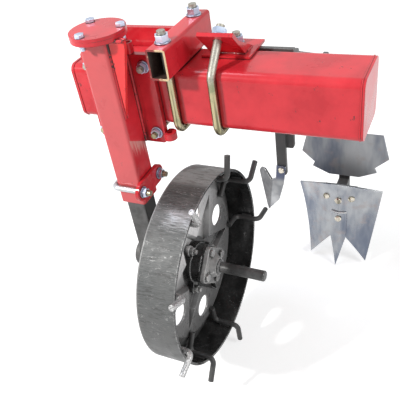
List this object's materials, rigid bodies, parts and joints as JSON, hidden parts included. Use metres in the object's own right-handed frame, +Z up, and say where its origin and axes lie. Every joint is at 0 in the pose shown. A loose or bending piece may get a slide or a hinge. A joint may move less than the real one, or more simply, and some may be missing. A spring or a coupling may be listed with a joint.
{
  "type": "inter-row cultivator section",
  "caption": "Toolbar section of an inter-row cultivator with a clamped height-set lugged ground wheel in front and a floating linkage carrying a tine and a ridger behind.",
  "frame": {"origin": "centre of the toolbar's left end face", "axes": "+X along the toolbar to its right end, +Y to the rear, +Z up"},
  "size_m": [0.6, 0.811, 0.8515],
  "materials": {
    "red_paint": "gloss red enamel, dusty",
    "black_paint": "satin black paint",
    "wheel_paint": "scuffed black-grey paint",
    "zinc_fastener": "bluish zinc plating",
    "yellow_zinc": "yellow zinc plating",
    "bright_steel": "bright ground steel",
    "worn_casting": "worn grey casting",
    "share_steel": "bluish scoured steel",
    "dark_steel": "dark oiled shaft steel",
    "lug_steel": "black paint worn to steel at the tips"
  },
  "bodies": {
    "toolbar": {"toolbar_beam": "red_paint", "toolbar_end_plates": "red_paint", "cross_tube": "red_paint", "cross_tube_u_bolt": "yellow_zinc", "brace_base_plate": "red_paint", "brace_inclined_plate": "red_paint", "brace_gussets": "red_paint", "brace_u_bolt": "yellow_zinc", "u_bolt_washers": "zinc_fastener", "u_bolt_nuts": "zinc_fastener", "leg_bracket_plate": "red_paint", "leg_bracket_rear_plate": "red_paint", "leg_bracket_bolts": "yellow_zinc", "leg_bracket_nuts": "zinc_fastener", "plate_side_boss": "red_paint", "plate_top_socket": "red_paint", "leg_post": "red_paint", "post_gusset": "red_paint", "post_top_flange": "red_paint", "post_cap_plate": "red_paint", "post_cap_bolts": "zinc_fastener", "leg_u_bolt": "zinc_fastener", "leg_u_bolt_plate": "red_paint", "leg_u_bolt_nuts": "zinc_fastener", "link_base_plate": "black_paint", "link_front_cheeks": "black_paint", "link_front_pins": "zinc_fastener"},
    "leg": {"leg_bar": "black_paint", "axle_boss": "black_paint", "axle_shaft": "dark_steel", "bearing_inner_rings": "bright_steel", "axle_circlip": "dark_steel"},
    "wheel": {"wheel_rim": "wheel_paint", "wheel_web": "wheel_paint", "wheel_lugs": "lug_steel", "hub_barrel_outer": "wheel_paint", "hub_barrel_inner": "wheel_paint", "bearing_flange_outer": "worn_casting", "bearing_flange_inner": "worn_casting", "bearing_flange_bolts": "worn_casting", "hub_ear_bolts": "worn_casting", "hub_ear_nuts": "worn_casting"},
    "lower_link": {"lower_link": "black_paint"},
    "upper_link": {"upper_link": "black_paint"},
    "gang": {"gang_cheeks": "black_paint", "gang_bar": "black_paint", "gang_end_caps": "black_paint", "link_rear_pins": "zinc_fastener", "tool_holders": "black_paint", "tool_keepers": "black_paint", "tool_keeper_bolts": "zinc_fastener"},
    "tine": {"tine_shank": "black_paint", "tine_share": "share_steel", "tine_share_bolt": "yellow_zinc"},
    "ridger": {"ridger_shank": "black_paint", "ridger_frog": "black_paint", "ridger_guard": "bright_steel", "ridger_wings": "bright_steel", "ridger_point": "bright_steel", "ridger_bolts": "zinc_fastener"}
  },
  "joints": [
    {"name": "leg_height", "type": "slide", "parent": "toolbar", "child": "leg", "axis": [0, 0, 1], "range_m": [-0.15, 0.045]},
    {"name": "wheel_spin", "type": "hinge", "parent": "leg", "child": "wheel", "pos_m": [0.2555, -0.102, -0.402], "axis": [1, 0, 0], "continuous": true},
    {"name": "lower_link_swing", "type": "hinge", "parent": "toolbar", "child": "lower_link", "pos_m": [0.39, 0.097, -0.05], "axis": [1, 0, 0], "range_deg": [0, 20]},
    {"name": "upper_link_swing", "type": "hinge", "parent": "toolbar", "child": "upper_link", "pos_m": [0.39, 0.097, 0.02], "axis": [1, 0, 0], "range_deg": [0, 20]},
    {"name": "gang_level", "type": "hinge", "parent": "lower_link", "child": "gang", "pos_m": [0.39, 0.332, -0.16], "axis": [1, 0, 0], "range_deg": [-20, 0]},
    {"name": "tine_depth", "type": "slide", "parent": "gang", "child": "tine", "axis": [0, 0, 1], "range_m": [-0.08, 0.05]},
    {"name": "ridger_depth", "type": "slide", "parent": "gang", "child": "ridger", "axis": [0, 0, 1], "range_m": [-0.08, 0.05]}
  ],
  "couplings": [
    {"joint": "upper_link_swing", "follows": "lower_link_swing", "ratio": 1},
    {"joint": "gang_level", "follows": "lower_link_swing", "ratio": -1}
  ]
}
